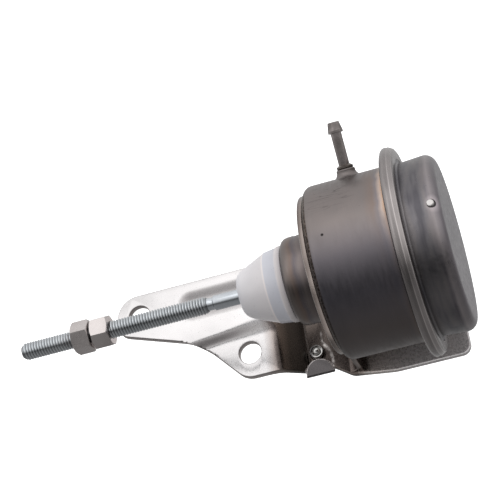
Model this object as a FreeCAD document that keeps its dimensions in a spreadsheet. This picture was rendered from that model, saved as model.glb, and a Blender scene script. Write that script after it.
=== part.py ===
import FreeCAD, Part
import math
import os
import re

import Sketcher

# Wastegate actuator, a vacuum unit on its own pressed bracket. Millimetres.
# The pull rod lies along X with its thread starting at the origin, the can at the far end,
# and the bracket plate lies flat below the rod, its bolt faces square to Z.

doc = FreeCAD.newDocument("wastegate_actuator")
# Driving dimensions, each on the sheet under its own name
dimensions = {
    # Pull rod
    "rod_radius": 3.0,
    "rod_thread_length": 66.6,
    "rod_tip_chamfer": 0.9,
    "rod_root_radius": 2.45,
    "rod_waist_radius": 2.15,
    "rod_waist_length": 2.4,
    "rod_shank_radius": 2.6,
    "rod_spigot_radius": 2.2,
    "rod_head_radius": 3.6,
    "rod_head_height": 1.4,
    "running_gap": 0.05,
    "soft_gap": 0.3,
    "fit_gap": 0.05,
    # Nuts on the rod
    "nut_across_flats": 10.0,
    "nut_height": 6.4,
    "nut_chamfer_radius": 4.85,
    "nut_bore_chamfer": 0.6,
    "lock_nut_place": 18.3,
    "nut_end_gap": 0.3,
    "nut_spacing": 0.7,
    "lock_nut_turn": 1.0,
    "adjuster_nut_turn": 28.0,
    # Front can, which holds the spring and carries the hose nipple
    "can_front": 108.1,
    "can_radius": 29.3,
    "can_wall": 1.0,
    "can_corner": 2.8,
    "can_depth": 27.85,
    # Crimped joint of can, diaphragm and cap
    "joint_flange_wall": 1.0,
    "joint_bend": 0.7,
    "bead_width": 2.0,
    "ring_stand": 5.7,
    "ring_wall": 1.4,
    "ring_crown": 3.3,
    "ring_inner_crown": 0.9,
    "ring_lip_round": 1.3,
    "ring_mouth_gap": 0.9,
    "edge_gap": 0.2,
    # Rear cap
    "cap_flare": 0.3,
    "cap_root_step": 0.7,
    "cap_wall": 1.0,
    "cap_depth": 13.15,
    "cap_corner": 3.6,
    "vent_radius": 1.25,
    "vent_back": 2.9,
    "plug_height": 0.4,
    # Hose nipple, brazed into a collar drawn out of the can
    "nipple_back": 15.0,
    "nipple_lean": 28.0,
    "nipple_length": 18.2,
    "nipple_radius": 1.8,
    "nipple_bore": 1.0,
    "barb_length": 3.6,
    "barb_tip_radius": 1.9,
    "barb_radius": 2.5,
    "boss_radius": 3.1,
    "boss_height": 2.5,
    "boss_sweep": 2.2,
    "braze_height": 1.4,
    "braze_radius": 2.75,
    # Neck cup in front of the can, with guide and seal inside
    "neck_length": 12.2,
    "neck_radius": 15.0,
    "neck_wall": 1.2,
    "neck_corner": 2.7,
    "neck_hole": 3.4,
    "neck_groove_place": 4.6,
    "neck_groove_width": 1.6,
    "neck_groove_depth": 0.35,
    "seal_width": 3.5,
    "seal_radius": 9.0,
    "retainer_wall": 1.0,
    "retainer_rim": 2.6,
    "bush_radius": 6.5,
    "bush_collar_radius": 12.6,
    "bush_collar": 1.5,
    "bush_tail": 5.5,
    # Silicone boot over the rod
    "boot_length": 17.3,
    "boot_front_radius": 7.4,
    "boot_front_corner": 1.6,
    "boot_nose": 11.1,
    "boot_kink_radius": 12.1,
    "boot_rear_radius": 13.1,
    "boot_wall": 1.3,
    "boot_front_wall": 2.6,
    # Spring, piston and diaphragm
    "seat_wall": 1.0,
    "seat_rim": 2.2,
    "spring_side_gap": 2.4,
    "spring_wire": 1.1,
    "spring_turns": 5.0,
    "spring_end_gap": 0.1,
    "piston_wall": 1.0,
    "piston_depth": 12.0,
    "piston_corner": 1.5,
    "diaphragm_wall": 1.2,
    "diaphragm_fold": 5.4,
    "diaphragm_fold_depth": 4.7,
    "diaphragm_gap": 0.4,
    "plate_wall": 1.0,
    "plate_rim": 1.5,
    "washer_radius": 5.0,
    "washer_wall": 1.0,
    "stop_inner_radius": 8.0,
    "stop_radius": 12.0,
    "stop_height": 3.7,
    # Bracket, pressed from one sheet
    "sheet": 2.6,
    "tongue_gap": 2.6,
    "ramp_drop": 9.6,
    "ramp_length": 11.2,
    "bend_ahead": 17.8,
    "bend_radius": 9.0,
    "foot_bend": 2.0,
    "tip_reach": 8.5,
    "bracket_top": 24.6,
    "tongue_length": 37.8,
    "tip_radius": 8.2,
    "lobe_edge": 16.5,
    "tongue_edge": 23.4,
    "tongue_top": 12.0,
    "waist_ahead": 17.0,
    "waist_round": 25.0,
    "lobe_ahead": 2.8,
    "lobe_round": 7.0,
    "foot_ahead": 8.6,
    "foot_round": 4.5,
    "skirt_edge": 21.2,
    "skirt_back": 11.0,
    "skirt_round": 20.0,
    "end_round": 3.5,
    "tongue_round": 8.0,
    "shoulder_back": 10.0,
    "bolt_radius": 4.0,
    "upper_bolt_ahead": 75.3,
    "upper_bolt_side": 16.3,
    "lower_bolt_ahead": 37.0,
    "lower_bolt_side": 7.3,
    "lobe_step": 2.0,
    "lobe_line": 2.6,
    "swage_ahead": 59.4,
    "swage_side": 16.4,
    "swage_half_width": 4.1,
    "swage_step": 1.6,
    "press_slope": 55.0,
    "flange_wall": 1.8,
    "flange_inset": 2.5,
    "web_inset": 6.3,
    "web_bend": 3.0,
    "ear_ahead": 15.1,
    "ear_edge": 18.2,
    "ear_radius": 5.2,
    "ear_height": 1.6,
    "stud_ahead": 15.0,
    "stud_side": 10.2,
    "stud_radius": 2.4,
    "stud_height": 2.2,
    "stud_dimple": 1.2,
}

# Places along the rod and heights that follow from the dimensions
places = {
    "adjuster_nut_place": "lock_nut_place + nut_height + nut_spacing",
    "grip_front": "lock_nut_place - nut_end_gap",
    "grip_rear": "adjuster_nut_place + nut_height + nut_end_gap",
    "ring_radius": "can_radius + ring_stand",
    "ring_mouth": "can_radius + ring_mouth_gap",
    "joint_flange_radius": "ring_radius - ring_wall - edge_gap",
    "bead_radius": "joint_flange_radius - edge_gap * 2",
    "joint_front": "can_front + can_depth",
    "bead_front": "joint_front + joint_flange_wall",
    "bead_rear": "bead_front + bead_width",
    "joint_rear": "bead_rear + joint_flange_wall",
    "ring_front": "joint_front - ring_wall",
    "ring_rear": "joint_rear + ring_wall",
    "cap_end": "bead_rear + cap_depth",
    "cap_radius": "can_radius + cap_flare",
    "cap_root_radius": "cap_radius - cap_root_step",
    "vent_place": "cap_end - vent_back",
    "nipple_reach": "can_radius + nipple_length",
    "boss_reach": "can_radius + boss_height",
    "can_inside": "can_front + can_wall",
    "seat_rear": "can_inside + seat_wall",
    "plate_rear": "cap_end - cap_wall - soft_gap - stop_height",
    "plate_front": "plate_rear - plate_wall",
    "piston_rear": "plate_front - diaphragm_wall",
    "piston_front": "piston_rear - piston_wall",
    "piston_radius": "can_radius - can_wall - diaphragm_fold - diaphragm_gap * 2",
    "plate_radius": "piston_radius - piston_corner - piston_wall",
    "spring_radius": "piston_radius - piston_wall - spring_wire - spring_side_gap",
    "seat_radius": "spring_radius + spring_wire + spring_side_gap",
    "seat_rim_radius": "spring_radius - spring_wire - seat_wall",
    "neck_front": "can_front - neck_length",
    "neck_inside": "neck_front + neck_wall",
    "seal_rear": "neck_inside + seal_width",
    "retainer_rear": "seal_rear + retainer_wall",
    "boot_front": "neck_front - boot_length",
    "boot_kink": "boot_front + boot_nose",
    "nipple_place": "can_front + nipple_back",
    "flange_front": "can_front - flange_wall",
    "flange_radius": "can_radius - flange_inset",
    "web_half_width": "flange_radius - web_inset",
    "tongue_drop": "ring_radius + tongue_gap",
    "plate_drop": "tongue_drop - ramp_drop",
    "bend_shift": "sheet * tan(atan(ramp_drop / ramp_length) / 2)",
    "bend_end": "can_front - bend_ahead",
    "bend_start": "bend_end - ramp_length",
    "upper_bolt_place": "can_front - upper_bolt_ahead",
    "lower_bolt_place": "can_front - lower_bolt_ahead",
    "bracket_left": "upper_bolt_place - tip_reach",
    "bracket_end": "can_front + tongue_length",
    "swage_place": "can_front - swage_ahead",
    "ear_place": "can_front - ear_ahead",
    "stud_place": "can_front - stud_ahead",
    "spigot_bore": "rod_spigot_radius + fit_gap",
    "guide_bore": "rod_shank_radius + running_gap",
}

sizes = doc.addObject("Spreadsheet::Sheet", "Sizes")
for row, (name, number) in enumerate(dimensions.items(), 1):
    sizes.set("A%d" % row, name)
    sizes.set("B%d" % row, str(number))
    sizes.setAlias("B%d" % row, name)
doc.recompute()


def tie(text):
    """Turn the names in an expression into references to the sheet."""

    def refer(word):
        if word[0] in places:
            return "(%s)" % tie(places[word[0]])
        return "Sizes." + word[0] if word[0] in dimensions else word[0]

    return re.sub(r"[a-z_]+", refer, text)


def value(text):
    """Work out an expression of sheet names as a number."""
    found = sizes.evalExpression(tie(text))
    return float(getattr(found, "Value", found))


def body(label):
    """Start a named piece."""
    new = doc.addObject("PartDesign::Body", label)
    new.Label = label
    return new


def origin_part(piece, role):
    """Find an axis or plane of the piece's own origin."""
    return next(f for f in piece.Origin.OriginFeatures if f.Role == role)


def sketch_on(piece, name, plane, offset=None):
    """Start a sketch on one of the piece's origin planes, lifted by an offset."""
    sketch = piece.newObject("Sketcher::SketchObject", name)
    sketch.AttachmentSupport = [(origin_part(piece, plane), "")]
    sketch.MapMode = "FlatFace"
    if offset:
        sketch.setExpression("AttachmentOffset.Base.z", tie(offset))
    return sketch


def fix_point(sketch, geometry, place, spot):
    """Tie a point of the sketch to two expressions."""
    for kind, text in zip(("DistanceX", "DistanceY"), spot):
        row = sketch.addConstraint(Sketcher.Constraint(kind, -1, 1, geometry, place, value(text)))
        sketch.setExpression("Constraints[%d]" % row, tie(text))


def fix_radius(sketch, geometry, text):
    """Tie the radius of an arc or circle to an expression."""
    row = sketch.addConstraint(Sketcher.Constraint("Radius", geometry, value(text)))
    sketch.setExpression("Constraints[%d]" % row, tie(text))


def circle(sketch, spot, radius):
    """Draw a circle tied to the sheet."""
    centre = FreeCAD.Vector(value(spot[0]), value(spot[1]), 0)
    ring = sketch.addGeometry(Part.Circle(centre, FreeCAD.Vector(0, 0, 1), value(radius)))
    fix_point(sketch, ring, 3, spot)
    fix_radius(sketch, ring, radius)


def outline(sketch, *corners):
    """Draw a closed outline of straight edges. A corner is its two places and, where it
    is rounded, a radius, each an expression of the sheet's names."""
    spots = [FreeCAD.Vector(value(c[0]), value(c[1]), 0) for c in corners]
    count = len(corners)
    cuts = []
    for i, corner in enumerate(corners):
        back = (spots[i - 1] - spots[i]).normalize()
        ahead = (spots[(i + 1) % count] - spots[i]).normalize()
        half_turn = (math.pi - back.getAngle(ahead)) / 2
        trim = value(corner[2]) * math.tan(half_turn) if len(corner) > 2 else 0.0
        cuts.append((spots[i] + back * trim, spots[i] + ahead * trim))
    edges = []
    for i in range(count):
        start, end = cuts[i][1], cuts[(i + 1) % count][0]
        edges.append(sketch.addGeometry(Part.LineSegment(start, end)))
    for i, corner in enumerate(corners):
        before, after = edges[i - 1], edges[i]
        if len(corner) == 2:
            sketch.addConstraint(Sketcher.Constraint("Coincident", before, 2, after, 1))
            fix_point(sketch, after, 1, corner)
            continue
        radius = value(corner[2])
        back = (spots[i - 1] - spots[i]).normalize()
        ahead = (spots[(i + 1) % count] - spots[i]).normalize()
        half_angle = back.getAngle(ahead) / 2
        centre = spots[i] + (back + ahead).normalize() * (radius / math.sin(half_angle))
        leftwards = back.cross(ahead).z < 0
        first, last = cuts[i] if leftwards else cuts[i][::-1]
        angles = [math.atan2(p.y - centre.y, p.x - centre.x) for p in (first, last)]
        round_line = Part.Circle(centre, FreeCAD.Vector(0, 0, 1), radius)
        arc = sketch.addGeometry(Part.ArcOfCircle(round_line, angles[0], angles[1]))
        ends = (1, 2) if leftwards else (2, 1)
        sketch.addConstraint(Sketcher.Constraint("Tangent", before, 2, arc, ends[0]))
        sketch.addConstraint(Sketcher.Constraint("Tangent", after, 1, arc, ends[1]))
        fix_radius(sketch, arc, corner[2])
        peak = sketch.addGeometry(Part.Point(spots[i]), True)
        sketch.addConstraint(Sketcher.Constraint("PointOnObject", peak, 1, before))
        sketch.addConstraint(Sketcher.Constraint("PointOnObject", peak, 1, after))
        fix_point(sketch, peak, 1, corner)


def turned(piece, name, *corners, cut=False):
    """Turn a profile of places along the rod and radii about the rod's line."""
    sketch = sketch_on(piece, name + "_profile", "XY_Plane")
    outline(sketch, *corners)
    turn = piece.newObject("PartDesign::Groove" if cut else "PartDesign::Revolution", name)
    turn.Profile = sketch
    turn.ReferenceAxis = (sketch, ["H_Axis"])
    turn.Angle = 360
    piece.Tip = turn
    doc.recompute()
    return turn


def extruded(piece, name, sketch, length, cut=False, reverse=False, slope=None):
    """Pad a sketch, or pocket it, by an expression."""
    step = piece.newObject("PartDesign::Pocket" if cut else "PartDesign::Pad", name)
    step.Profile = sketch
    step.setExpression("Length", tie(length))
    step.Reversed = reverse
    if slope:
        step.setExpression("TaperAngle", tie(slope))
    before = piece.Shape.Volume if piece.Shape.Solids else 0.0
    piece.Tip = step
    doc.recompute()
    if (piece.Shape.Volume < before) != cut:
        raise RuntimeError("%s went the wrong way" % name)
    return step


def make_rod():
    """Zinc plated steel rod: rolled thread, waist, ground shank, and a peened spigot. The
    thread is drawn at its crests, and inside the two nuts at its root."""
    rod = body("rod")
    waist_end = "rod_thread_length + rod_waist_length"
    head_front = "plate_rear + washer_wall"
    head_rear = head_front + " + rod_head_height"
    turned(
        rod, "rod_turning",
        ("-rod_tip_chamfer", "0"),
        ("-rod_tip_chamfer", "rod_radius - rod_tip_chamfer"),
        ("0", "rod_radius"),
        ("grip_front", "rod_radius"),
        ("grip_front", "rod_root_radius"),
        ("grip_rear", "rod_root_radius"),
        ("grip_rear", "rod_radius"),
        ("rod_thread_length", "rod_radius"),
        ("rod_thread_length + rod_radius - rod_waist_radius", "rod_waist_radius"),
        (waist_end, "rod_waist_radius"),
        (waist_end, "rod_shank_radius"),
        ("piston_front", "rod_shank_radius"),
        ("piston_front", "rod_spigot_radius"),
        (head_front, "rod_spigot_radius"),
        (head_front, "rod_head_radius"),
        (head_rear, "rod_head_radius", "rod_head_height / 2"),
        (head_rear, "0"),
    )


def make_nut(label, place, turn):
    """Plain hexagon nut, chamfered on both faces, threaded on the rod."""
    nut = body(label)
    sketch = sketch_on(nut, label + "_hexagon", "YZ_Plane")
    reach = "nut_across_flats / sqrt(3)"
    corner_angles = range(30, 390, 60)
    outline(sketch, *[("%s * cos(%d deg)" % (reach, a), "%s * sin(%d deg)" % (reach, a))
                      for a in corner_angles])
    extruded(nut, label + "_blank", sketch, "nut_height")
    rim = "nut_across_flats * 0.7"
    drop = "(%s - nut_chamfer_radius) * tan(30 deg)" % rim
    for end, sign in (("0", "+"), ("nut_height", "-")):
        turned(
            nut, label + ("_front" if sign == "+" else "_rear") + "_chamfer",
            (end, "nut_chamfer_radius"),
            (end, rim),
            ("%s %s %s" % (end, sign, drop), rim),
            cut=True,
        )
    turned(
        nut, label + "_bore",
        ("0", "0"),
        ("0", "rod_root_radius + running_gap + nut_bore_chamfer"),
        ("nut_bore_chamfer", "rod_root_radius + running_gap"),
        ("nut_height - nut_bore_chamfer", "rod_root_radius + running_gap"),
        ("nut_height", "rod_root_radius + running_gap + nut_bore_chamfer"),
        ("nut_height", "0"),
        cut=True,
    )
    nut.Placement = FreeCAD.Placement(
        FreeCAD.Vector(value(place), 0, 0),
        FreeCAD.Rotation(FreeCAD.Vector(1, 0, 0), value(turn)))
    nut.setExpression("Placement.Base.x", tie(place))
    nut.setExpression("Placement.Rotation.Angle", tie(turn) + " * 1 deg")


def make_boot():
    """Moulded silicone boot: a round nose, a cone and a short skirt, open at the back."""
    boot = body("boot")
    inner_front = "boot_front + boot_front_wall"
    hole = "rod_shank_radius + soft_gap"
    slope = "(boot_kink_radius - boot_front_radius) / (boot_kink - boot_front)"
    turned(
        boot, "boot_wall_turning",
        ("boot_front", hole),
        ("boot_front", "boot_front_radius", "boot_front_corner"),
        ("boot_kink", "boot_kink_radius"),
        ("neck_front", "boot_rear_radius"),
        ("neck_front", "boot_rear_radius - boot_wall"),
        ("boot_kink", "boot_kink_radius - boot_wall"),
        (inner_front, "boot_front_radius + boot_front_wall * %s - boot_wall" % slope),
        (inner_front, hole),
    )


def make_neck_cup():
    """Drawn steel cup in front of the can, set in the bracket's flange."""
    neck = body("neck_cup")
    groove = "neck_front + neck_groove_place"
    turned(
        neck, "neck_turning",
        ("neck_front", "neck_hole"),
        ("neck_front", "neck_radius", "neck_corner"),
        ("can_front", "neck_radius"),
        ("can_front", "neck_radius - neck_wall"),
        ("neck_inside", "neck_radius - neck_wall", "neck_corner - neck_wall"),
        ("neck_inside", "neck_hole"),
    )
    turned(
        neck, "neck_groove",
        (groove, "neck_radius + neck_wall"),
        (groove, "neck_radius"),
        (groove + " + neck_groove_width / 2", "neck_radius - neck_groove_depth"),
        (groove + " + neck_groove_width", "neck_radius"),
        (groove + " + neck_groove_width", "neck_radius + neck_wall"),
        cut=True,
    )


def make_seal():
    """Rubber wiper ring behind the neck's front wall."""
    turned(
        body("rod_seal"), "seal_turning",
        ("neck_inside", "rod_shank_radius + running_gap * 3"),
        ("neck_inside", "seal_radius", "seal_width / 5"),
        ("seal_rear", "seal_radius", "seal_width / 5"),
        ("seal_rear", "rod_shank_radius + running_gap * 3 + seal_width / 4"),
        ("neck_inside + seal_width / 2", "guide_bore"),
    )


def make_retainer():
    """Pressed steel cup washer that holds the seal."""
    rim = "neck_radius - neck_wall - fit_gap"
    turned(
        body("seal_retainer"), "retainer_turning",
        ("retainer_rear", "neck_hole"),
        ("retainer_rear", rim, "retainer_wall"),
        ("retainer_rear - retainer_rim", rim),
        ("retainer_rear - retainer_rim", rim + " - retainer_wall"),
        ("seal_rear", rim + " - retainer_wall"),
        ("seal_rear", "neck_hole"),
    )


def make_bush():
    """Sintered bronze guide bush, its collar against the can's front wall."""
    tail = "can_inside + bush_tail"
    turned(
        body("guide_bush"), "bush_turning",
        ("retainer_rear", "guide_bore"),
        ("retainer_rear", "bush_radius"),
        ("can_front - bush_collar", "bush_radius"),
        ("can_front - bush_collar", "bush_collar_radius"),
        ("can_front", "bush_collar_radius"),
        ("can_front", "bush_radius"),
        (tail, "bush_radius", "bush_radius / 8"),
        (tail, "guide_bore"),
    )


def lean_over(sketch):
    """Turn a sketch about the rod's line so that its upright is the nipple's line."""
    sketch.AttachmentOffset = FreeCAD.Placement(
        FreeCAD.Vector(value("nipple_place"), 0, 0),
        FreeCAD.Rotation(FreeCAD.Vector(1, 0, 0), value("nipple_lean")))
    sketch.setExpression("AttachmentOffset.Base.x", tie("nipple_place"))
    sketch.setExpression("AttachmentOffset.Rotation.Angle", tie("nipple_lean") + " * 1 deg")


def turned_on_nipple(piece, name, *corners, cut=False):
    """Turn a profile of radii and reaches about the nipple's line."""
    sketch = sketch_on(piece, name + "_profile", "XY_Plane")
    lean_over(sketch)
    outline(sketch, *corners)
    turn = piece.newObject("PartDesign::Groove" if cut else "PartDesign::Revolution", name)
    turn.Profile = sketch
    turn.ReferenceAxis = (sketch, ["V_Axis"])
    turn.Angle = 360
    piece.Tip = turn
    doc.recompute()


def make_front_can():
    """Deep drawn steel can with an outward flange and a drawn collar for the nipple."""
    can = body("front_can")
    bore = "bush_radius + fit_gap"
    turned(
        can, "can_outside",
        ("can_front", bore),
        ("can_front", "can_radius", "can_corner"),
        ("joint_front", "can_radius", "joint_bend"),
        ("joint_front", "joint_flange_radius", "ring_inner_crown"),
        ("bead_front", "joint_flange_radius"),
        ("bead_front", bore),
    )
    turned_on_nipple(
        can, "nipple_collar",
        ("0", "can_radius - can_wall * 2"),
        ("boss_radius + boss_sweep * 2", "can_radius - can_wall * 2"),
        ("boss_radius", "can_radius + can_wall / 2", "boss_sweep"),
        ("boss_radius", "boss_reach", "can_wall / 2"),
        ("0", "boss_reach"),
    )
    turned(
        can, "can_hollow",
        ("can_inside", bore),
        ("can_inside", "can_radius - can_wall", "can_corner - can_wall"),
        ("bead_front", "can_radius - can_wall"),
        ("bead_front", bore),
        cut=True,
    )
    turned_on_nipple(
        can, "collar_bore",
        ("0", "can_radius - can_wall * 3"),
        ("nipple_radius + fit_gap", "can_radius - can_wall * 3"),
        ("nipple_radius + fit_gap", "boss_reach + can_wall"),
        ("0", "boss_reach + can_wall"),
        cut=True,
    )


def make_rear_cap():
    """Shallow drawn steel cap with a vent hole in its rounded shoulder."""
    cap = body("rear_cap")
    inner_root = "cap_root_radius - cap_wall"
    turned(
        cap, "cap_shell",
        ("bead_rear", inner_root, "joint_bend"),
        ("bead_rear", "joint_flange_radius"),
        ("joint_rear", "joint_flange_radius", "ring_inner_crown"),
        ("joint_rear", "cap_root_radius", "joint_bend"),
        ("cap_end", "cap_radius", "cap_corner"),
        ("cap_end", "0"),
        ("cap_end - cap_wall", "0"),
        ("cap_end - cap_wall", "cap_radius - cap_wall", "cap_corner - cap_wall"),
    )
    sketch = sketch_on(cap, "vent_circle", "XY_Plane", "cap_radius + cap_wall")
    circle(sketch, ("vent_place", "0"), "vent_radius")
    extruded(cap, "vent_hole", sketch, "cap_wall * 4", cut=True)


def make_crimp_ring():
    """Rolled steel ring of C section that clamps the can, the diaphragm and the cap."""
    turned(
        body("crimp_ring"), "ring_rolling",
        ("ring_front", "ring_mouth", "ring_lip_round"),
        ("ring_front", "ring_radius", "ring_crown"),
        ("ring_rear", "ring_radius", "ring_crown"),
        ("ring_rear", "ring_mouth", "ring_lip_round"),
        ("joint_rear", "ring_mouth"),
        ("joint_rear", "ring_radius - ring_wall", "ring_inner_crown"),
        ("joint_front", "ring_radius - ring_wall", "ring_inner_crown"),
        ("joint_front", "ring_mouth"),
    )


def make_nipple():
    """Steel hose nipple with one barb, pushed through the can's collar."""
    barb_base = "nipple_reach - barb_length"
    turned_on_nipple(
        body("nipple"), "nipple_turning",
        ("nipple_bore", "can_radius - can_wall * 1.5"),
        ("nipple_radius", "can_radius - can_wall * 1.5"),
        ("nipple_radius", barb_base),
        ("barb_radius", barb_base),
        ("barb_radius", barb_base + " + barb_length / 5"),
        ("barb_tip_radius", "nipple_reach"),
        ("nipple_bore", "nipple_reach"),
    )


def make_braze():
    """Fillet of braze round the nipple on top of the can's collar."""
    bore = "nipple_radius + fit_gap"
    turned_on_nipple(
        body("nipple_braze"), "braze_turning",
        (bore, "boss_reach"),
        ("braze_radius", "boss_reach", "braze_height / 4"),
        ("braze_radius", "boss_reach + braze_height * 0.6"),
        (bore, "boss_reach + braze_height"),
    )


def make_spring_seat():
    """Pressed steel seat for the spring, on the inside of the can's front wall."""
    rim_inside = "seat_rim_radius - seat_wall"
    turned(
        body("spring_seat"), "seat_turning",
        ("can_inside", "bush_radius + fit_gap"),
        ("can_inside", "seat_radius"),
        ("seat_rear", "seat_radius"),
        ("seat_rear", "seat_rim_radius"),
        ("seat_rear + seat_rim", "seat_rim_radius"),
        ("seat_rear + seat_rim", rim_inside),
        ("seat_rear", rim_inside),
        ("seat_rear", "bush_radius + fit_gap"),
    )


def make_spring():
    """Helical spring that pushes the piston back and draws the rod in."""
    spring = body("return_spring")
    first = "seat_rear + spring_wire + spring_end_gap"
    span = "%s - spring_wire - spring_end_gap - (%s)" % ("piston_front", first)
    sketch = sketch_on(spring, "wire_section", "XY_Plane")
    circle(sketch, (first, "spring_radius"), "spring_wire")
    coil = spring.newObject("PartDesign::AdditiveHelix", "spring_coil")
    coil.Profile = sketch
    coil.ReferenceAxis = (sketch, ["H_Axis"])
    coil.Mode = "height-turns-angle"
    coil.setExpression("Height", tie(span))
    coil.setExpression("Turns", tie("spring_turns"))
    spring.Tip = coil
    doc.recompute()


def make_piston():
    """Drawn steel cup behind the spring, which carries the diaphragm."""
    rim = "piston_rear - piston_depth"
    turned(
        body("piston_cup"), "piston_turning",
        ("piston_rear", "spigot_bore"),
        ("piston_rear", "piston_radius", "piston_corner"),
        (rim, "piston_radius"),
        (rim, "piston_radius - piston_wall"),
        ("piston_front", "piston_radius - piston_wall", "piston_corner - piston_wall"),
        ("piston_front", "spigot_bore"),
    )


def make_diaphragm():
    """Rubber diaphragm: a clamped bead, one rolling fold, and a flat middle."""
    fold_inside = "piston_radius + diaphragm_gap"
    fold_outside = fold_inside + " + diaphragm_fold"
    fold_front = "bead_front - diaphragm_fold_depth"
    small = "(diaphragm_fold / 2 - diaphragm_wall)"
    turned(
        body("diaphragm"), "diaphragm_turning",
        ("piston_rear", "spigot_bore"),
        ("piston_rear", fold_inside, "diaphragm_wall / 2"),
        (fold_front, fold_inside, "diaphragm_fold / 2.01"),
        (fold_front, fold_outside, "diaphragm_fold / 2.01"),
        ("bead_front", fold_outside, "diaphragm_wall / 2"),
        ("bead_front", "bead_radius"),
        ("bead_rear", "bead_radius"),
        ("bead_rear", "bead_radius - bead_width * 1.3"),
        ("bead_front + diaphragm_wall", "bead_radius - bead_width * 1.3"),
        ("bead_front + diaphragm_wall", fold_outside + " - diaphragm_wall",
         "diaphragm_wall * 1.3"),
        (fold_front + " + diaphragm_wall", fold_outside + " - diaphragm_wall",
         small + " / 1.01"),
        (fold_front + " + diaphragm_wall", fold_inside + " + diaphragm_wall",
         small + " / 1.01"),
        ("plate_front", fold_inside + " + diaphragm_wall", "diaphragm_wall * 1.3"),
        ("plate_front", "spigot_bore"),
    )


def make_diaphragm_plate():
    """Pressed steel plate that backs the diaphragm's middle."""
    turned(
        body("diaphragm_plate"), "plate_turning",
        ("plate_front", "spigot_bore"),
        ("plate_front", "plate_radius", "plate_wall"),
        ("plate_rear + plate_rim", "plate_radius"),
        ("plate_rear + plate_rim", "plate_radius - plate_wall"),
        ("plate_rear", "plate_radius - plate_wall"),
        ("plate_rear", "spigot_bore"),
    )


def make_washer():
    """Steel washer under the rod's peened head."""
    rear = "plate_rear + washer_wall"
    turned(
        body("rod_washer"), "washer_turning",
        ("plate_rear", "spigot_bore"),
        ("plate_rear", "washer_radius"),
        (rear, "washer_radius"),
        (rear, "spigot_bore"),
    )


def make_bump_stop():
    """Rubber ring that lands on the inside of the cap when the rod is drawn in."""
    rear = "plate_rear + stop_height"
    turned(
        body("bump_stop"), "stop_turning",
        ("plate_rear", "stop_inner_radius"),
        ("plate_rear", "stop_radius"),
        (rear, "stop_radius", "stop_height / 3"),
        (rear, "stop_inner_radius", "stop_height / 3"),
    )


def press_in(piece, name, step, corners_to):
    """Press an area of the plate down: a hollow above, which runs out on the ramp, and as
    much metal below, which ends inside it. The walls are sloped."""
    above = sketch_on(piece, name + "_outline", "XY_Plane", "-plate_drop")
    outline(above, *corners_to("bend_end"))
    below = sketch_on(piece, name + "_back_outline", "XY_Plane", "-plate_drop - sheet")
    outline(below, *corners_to("bend_start + sheet"))
    extruded(piece, name + "_back", below, step, reverse=True, slope="-press_slope / 2")
    extruded(piece, name, above, step, cut=True, slope="-press_slope")


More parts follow.
